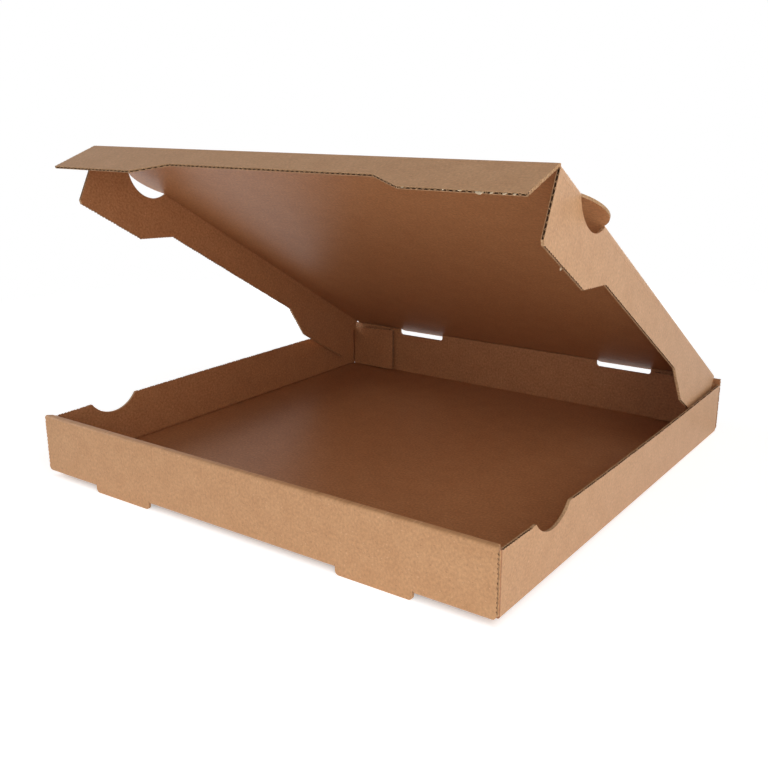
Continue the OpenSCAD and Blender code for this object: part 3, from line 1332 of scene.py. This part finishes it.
@dataclass(frozen=True)
class Studio:
    """White sweep, soft lights and the camera."""

    camera_place: Place = (349.03 * MM, -513.87 * MM, 228.93 * MM)
    camera_aim: Place = (-23.19 * MM, 10.99 * MM, 40.51 * MM)
    lens_mm: float = 44.78
    sensor_mm: float = 36.0
    nearest: float = 10 * MM
    light_aim: Place = (0.0, 0.0, 80 * MM)
    softboxes: tuple[Softbox, ...] = (
        Softbox("right_softbox", (0.9, -0.75, 0.25), 0.6, 4.1),
        Softbox("high_softbox", (1.1, -0.5, 1.0), 0.8, 4.9),
        Softbox("front_softbox", (0.02, -0.85, 0.2), 0.4, 0.55),
        Softbox("left_softbox", (-1.4, -0.4, 0.5), 0.8, 9.0),
        Softbox("rear_softbox", (0.1, 1.5, 0.33), 0.8, 6.0))
    floor_size: float = 8.0
    floor_colour: str = "#f2f2f2"
    # Up to this distance the floor takes the box's shadow, and at twice as far it is plain white to look at
    shadow_reach: float = 0.35
    # Close to the box, this share of the look of the floor is a white glow of this strength
    floor_share: float = 0.3
    floor_glow: float = 1.75
    # Light that the floor gives off beside the box, and the width of the edge where it starts
    table_light: float = 0.3
    shade_edge: float = 12 * MM
    # How far behind the box the floor's glow, as the board mirrors it, is painted dimmer: painted shade of
    # the open lid
    rear_shade: float = 150 * MM
    # What the world lights the box with, level and from straight above
    horizon: float = 0.05
    zenith: float = 0.2

    def build(self) -> None:
        """Sets up the floor, the world, the lights and the camera."""
        self.set_view()
        self.lay_floor()
        self.set_world()
        for softbox in self.softboxes:
            softbox.hang(Vector(self.light_aim))
        self.set_camera()

    @staticmethod
    def set_view() -> None:
        """Shows colours as they are written."""
        bpy.context.scene.view_settings.view_transform = "Standard"

    def lay_floor(self) -> None:
        """Lays the floor that the box stands on: its front lugs and its rear fold touch it."""
        low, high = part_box("tray")
        bm = bmesh.new()
        bmesh.ops.create_grid(bm, x_segments=1, y_segments=1, size=self.floor_size / 2)
        tilt = math.atan2(-low.z, high.y - low.y)
        bmesh.ops.rotate(bm, verts=bm.verts, cent=(0, 0, 0), matrix=Matrix.Rotation(tilt, 3, "X"))
        bmesh.ops.translate(bm, verts=bm.verts, vec=(0, 0, low.z / 2))
        floor = new_object("studio_floor", bm)
        floor.data.materials.append(self.sweep(high))

    def sweep(self, corner: Vector) -> Material:
        """Makes the floor's material: lit paper that takes the shadow, mixed with a white glow to look at.

        Args:
            corner: The tray's highest corner.

        Returns:
            The material.
        """
        material, tree, shader = new_material("white_paper_sweep")
        tree.nodes.remove(shader)
        place = add_node(tree, "TexCoord").outputs["Object"]
        clear = self.clear_of_box(tree, place, corner.x)
        seen = self.looked_at(tree, place, corner.y)
        reach = add_node(tree, "VectorMath", {"operation": "LENGTH"}, {0: place})
        further = {"Value": reach.outputs["Value"], "To Max": 1.0,
                   "From Min": self.shadow_reach, "From Max": 2 * self.shadow_reach}
        share = add_node(tree, "MapRange", inputs=further | {"To Min": self.floor_share})
        glow = add_node(tree, "MapRange", inputs=further | {"To Min": self.floor_glow})
        white = add_node(tree, "Emission", inputs={"Strength": glow.outputs["Result"]})
        lit = add_node(tree, "Math", {"operation": "MULTIPLY"}, {0: clear, 1: self.table_light})
        table = add_node(tree, "Emission", inputs={"Strength": lit.outputs["Value"]})
        paper = add_node(tree, "BsdfDiffuse", inputs={"Color": linear(self.floor_colour)})
        paper = add_node(tree, "AddShader", inputs={0: paper.outputs["BSDF"], 1: table.outputs["Emission"]})
        shown = add_node(tree, "Math", {"operation": "MULTIPLY"}, {0: seen, 1: clear})
        shown = add_node(tree, "Math", {"operation": "MULTIPLY"}, {
            0: shown.outputs["Value"], 1: share.outputs["Result"]})
        mixed = add_node(tree, "MixShader", inputs={
            0: shown.outputs["Value"], 1: paper.outputs["Shader"], 2: white.outputs["Emission"]})
        tree.links.new(mixed.outputs["Shader"], tree.nodes["Material Output"].inputs["Surface"])
        return material

    def clear_of_box(self, tree: NodeTree, place: NodeSocket, half_width: float) -> NodeSocket:
        """Marks the floor that the box doesn't cover.

        Args:
            tree: The floor's nodes.
            place: Place on the floor.
            half_width: Half the tray's width, which is its depth as well.

        Returns:
            0 under the box and 1 beside it.
        """
        either_side = add_node(tree, "VectorMath", {"operation": "ABSOLUTE"}, {0: place})
        sides = add_node(tree, "SeparateXYZ", inputs={0: either_side.outputs["Vector"]})
        beside = add_node(tree, "Math", {"operation": "MAXIMUM"}, {
            0: sides.outputs["X"], 1: sides.outputs["Y"]})
        clear = add_node(tree, "MapRange", inputs={
            "Value": beside.outputs["Value"],
            "From Min": half_width - self.shade_edge, "From Max": half_width})
        return clear.outputs["Result"]

    def looked_at(self, tree: NodeTree, place: NodeSocket, rear: float) -> NodeSocket:
        """Marks the rays that see the floor's glow: the camera's, and those that the board mirrors.

        Args:
            tree: The floor's nodes.
            place: Place on the floor.
            rear: Where the tray ends at the rear.

        Returns:
            1 for a ray that sees the glow, 0 for one that doesn't, and less for a mirrored ray just behind
            the box, where painted shade dims the glow.
        """
        rays = add_node(tree, "LightPath")
        # What the board mirrors of the floor is painted dimmer behind the box, as painted shade of the open
        # lid
        depth = add_node(tree, "SeparateXYZ", inputs={0: place}).outputs["Y"]
        beyond = add_node(tree, "MapRange", {"interpolation_type": "SMOOTHSTEP"}, {
            "Value": depth, "From Min": rear, "From Max": rear + self.rear_shade})
        ahead = add_node(tree, "Math", {"operation": "LESS_THAN"}, {0: depth, 1: rear})
        unshaded = add_node(tree, "Math", {"operation": "MAXIMUM"}, {
            0: beyond.outputs["Result"], 1: ahead.outputs["Value"]})
        mirrored = add_node(tree, "Math", {"operation": "MULTIPLY"}, {
            0: rays.outputs["Is Glossy Ray"], 1: unshaded.outputs["Value"]})
        seen = add_node(tree, "Math", {"operation": "MAXIMUM"}, {
            0: rays.outputs["Is Camera Ray"], 1: mirrored.outputs["Value"]})
        return seen.outputs["Value"]

    def set_world(self) -> None:
        """Makes the world white to look at, and a sky that is dimmer overhead in what the board mirrors."""
        world = bpy.data.worlds.new("white_studio")
        world.use_nodes = True
        bpy.context.scene.world = world
        tree = world.node_tree
        rays = add_node(tree, "LightPath")
        way = add_node(tree, "TexCoord")
        height = add_node(tree, "SeparateXYZ", inputs={0: way.outputs["Generated"]}).outputs["Z"]
        level = add_node(tree, "MapRange", inputs={
            "Value": height, "To Min": self.horizon, "To Max": self.zenith})
        shine = add_node(tree, "MapRange", inputs={"Value": height, "To Min": 1.0, "To Max": self.zenith})
        level = add_node(tree, "Mix", inputs={
            MixInput.SHARE: rays.outputs["Is Glossy Ray"],
            MixInput.FIRST_NUMBER: level.outputs["Result"],
            MixInput.SECOND_NUMBER: shine.outputs["Result"]})
        seen = add_node(tree, "Math", {"operation": "MAXIMUM"}, {
            0: rays.outputs["Is Camera Ray"], 1: rays.outputs["Is Transmission Ray"]})
        strength = add_node(tree, "Mix", inputs={
            MixInput.SHARE: seen.outputs["Value"],
            MixInput.FIRST_NUMBER: level.outputs[MixOutput.NUMBER],
            MixInput.SECOND_NUMBER: 1.0})
        shown = tree.nodes["Background"]
        shown.inputs["Color"].default_value = (1, 1, 1, 1)
        tree.links.new(strength.outputs[MixOutput.NUMBER], shown.inputs["Strength"])

    def set_camera(self) -> None:
        """Places the camera at the picture's viewpoint."""
        data = bpy.data.cameras.new("camera")
        data.lens = self.lens_mm
        data.sensor_width = self.sensor_mm
        data.clip_start = self.nearest
        camera = bpy.data.objects.new("camera", data)
        camera.location = self.camera_place
        camera.rotation_euler = facing(camera.location, Vector(self.camera_aim))
        bpy.context.scene.collection.objects.link(camera)
        bpy.context.scene.camera = camera


def main() -> None:
    """Builds the box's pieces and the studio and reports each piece."""
    logging.basicConfig(level=logging.INFO, format="%(name)s: %(message)s")
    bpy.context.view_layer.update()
    board = Board()
    papers = Papers(board)
    tray_board = replace(board, flute_recess=board.tray_recess)
    pieces = [Tray("tray", tray_board, papers, Lay(Y_AXIS, X_AXIS), -Z_AXIS).build()]
    pieces += Lid(board, papers).build()
    for piece in pieces:
        log.info("%s: %d faces", piece.name, len(piece.data.polygons))
    Studio().build()


if __name__ == "__main__":
    main()
